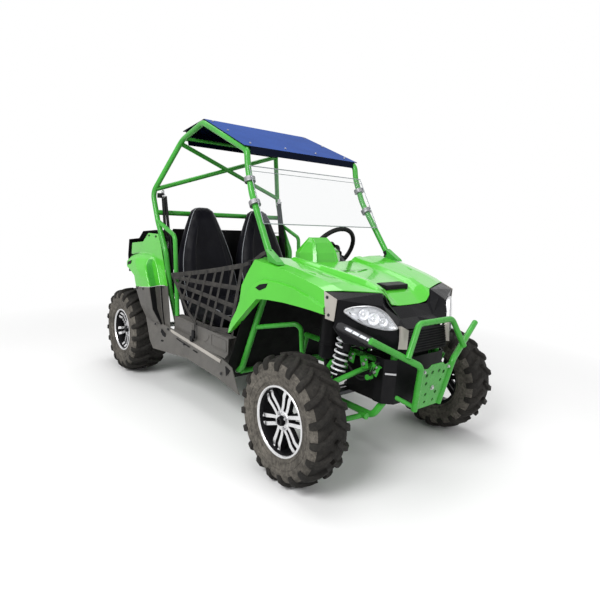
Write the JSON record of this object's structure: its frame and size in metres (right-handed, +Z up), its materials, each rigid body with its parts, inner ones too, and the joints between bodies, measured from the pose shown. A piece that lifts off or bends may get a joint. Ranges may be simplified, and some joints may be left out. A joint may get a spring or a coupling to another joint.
{
  "type": "side by side utv",
  "caption": "Two-seat off-road side by side with a tube roll cage, hard roof, windshield, bucket seats, side nets, front bumper, knobby tyres and coupled rack steering.",
  "frame": {"origin": "on the ground, on the centre line, midway between the front and rear axles", "axes": "+X forward, +Y to the driver's left, +Z up"},
  "size_m": [2.411, 1.266, 1.6249],
  "materials": {
    "green_steel": "gloss",
    "green_panel": "gloss",
    "black_panel": "gloss",
    "black_plastic": "matte",
    "grey_plastic": "satin",
    "screen": "clear",
    "lens": "clear",
    "light_white": "gloss",
    "red_lens": "gloss",
    "vinyl": "satin",
    "webbing": "matte",
    "net_webbing": "matte",
    "rubber": "matte",
    "tyre": "matte",
    "alloy": "machined",
    "steel": "satin",
    "dark_steel": "satin",
    "silver_metal": "satin",
    "cast": "cast"
  },
  "bodies": {
    "chassis": {"rear_frame": "green_steel", "cab_rails": "green_steel", "front_legs_left": "green_steel", "front_legs_right": "green_steel", "front_rails_left": "green_steel", "front_rails_right": "green_steel", "cage_hoops": "green_steel", "cage_cross_tubes": "green_steel", "cage_x_brace": "green_steel", "roof_panel": "black_panel", "windshield": "screen", "windshield_clamps": "silver_metal", "hood": "green_panel", "hood_scoop": "black_panel", "front_fenders": "green_panel", "front_fascia": "black_panel", "headlights": "lens", "led_strips": "light_white", "fascia_accents": "grey_plastic", "grille": "black_plastic", "lower_shroud": "black_plastic", "front_bumper": "green_steel", "skid_plate": "green_steel", "dashboard": "black_plastic", "instrument_cowl": "green_panel", "floor_pan": "black_plastic", "splash_guards": "black_plastic", "pedals": "dark_steel", "rockers": "grey_plastic", "rear_fenders": "green_panel", "rear_side_panels": "grey_plastic", "back_panel": "black_plastic", "rear_deck": "black_plastic", "seat_right": "vinyl", "seat_left": "vinyl", "seat_belts": "webbing", "side_nets": "net_webbing", "engine": "cast", "exhaust": "dark_steel", "rear_bumper": "green_steel", "tail_lights": "red_lens", "swingarm": "green_steel", "front_shocks": "silver_metal", "rear_shocks": "silver_metal", "front_arms": "green_steel", "steering_column": "dark_steel"},
    "steering_wheel": {"steering_wheel": "rubber"},
    "steering_rack": {"steering_rack": "steel"},
    "knuckle_right": {"knuckle_right": "dark_steel"},
    "knuckle_left": {"knuckle_left": "dark_steel"},
    "front_wheel_right": {"front_rim_right": "alloy", "front_tyre_right": "tyre"},
    "front_wheel_left": {"front_rim_left": "alloy", "front_tyre_left": "tyre"},
    "rear_wheels": {"rear_axle": "steel", "rear_rims": "alloy", "rear_tyres": "tyre"}
  },
  "joints": [
    {"name": "steering_wheel_turn", "type": "hinge", "parent": "chassis", "child": "steering_wheel", "pos_m": [0.265, 0.205, 0.925], "axis": [-0.866, 0, 0.5], "range_deg": [-240, 240]},
    {"name": "rack_slide", "type": "slide", "parent": "chassis", "child": "steering_rack", "axis": [0, 1, 0], "range_m": [-0.04245, 0.04245]},
    {"name": "kingpin_right", "type": "hinge", "parent": "chassis", "child": "knuckle_right", "pos_m": [0.87, -0.43, 0.28], "axis": [0, 0, 1], "range_deg": [-28.1, 28.1]},
    {"name": "kingpin_left", "type": "hinge", "parent": "chassis", "child": "knuckle_left", "pos_m": [0.87, 0.43, 0.28], "axis": [0, 0, 1], "range_deg": [-28.1, 28.1]},
    {"name": "front_wheel_right_spin", "type": "hinge", "parent": "knuckle_right", "child": "front_wheel_right", "pos_m": [0.87, -0.536, 0.28], "axis": [0, 1, 0], "continuous": true},
    {"name": "front_wheel_left_spin", "type": "hinge", "parent": "knuckle_left", "child": "front_wheel_left", "pos_m": [0.87, 0.536, 0.28], "axis": [0, 1, 0], "continuous": true},
    {"name": "rear_axle_spin", "type": "hinge", "parent": "chassis", "child": "rear_wheels", "pos_m": [-0.87, 0, 0.28], "axis": [0, 1, 0], "continuous": true}
  ],
  "couplings": [
    {"joint": "rack_slide", "follows": "steering_wheel_turn", "m_per_rad": -0.010087},
    {"joint": "kingpin_right", "follows": "steering_wheel_turn", "ratio": 0.11667},
    {"joint": "kingpin_left", "follows": "steering_wheel_turn", "ratio": 0.11667}
  ]
}
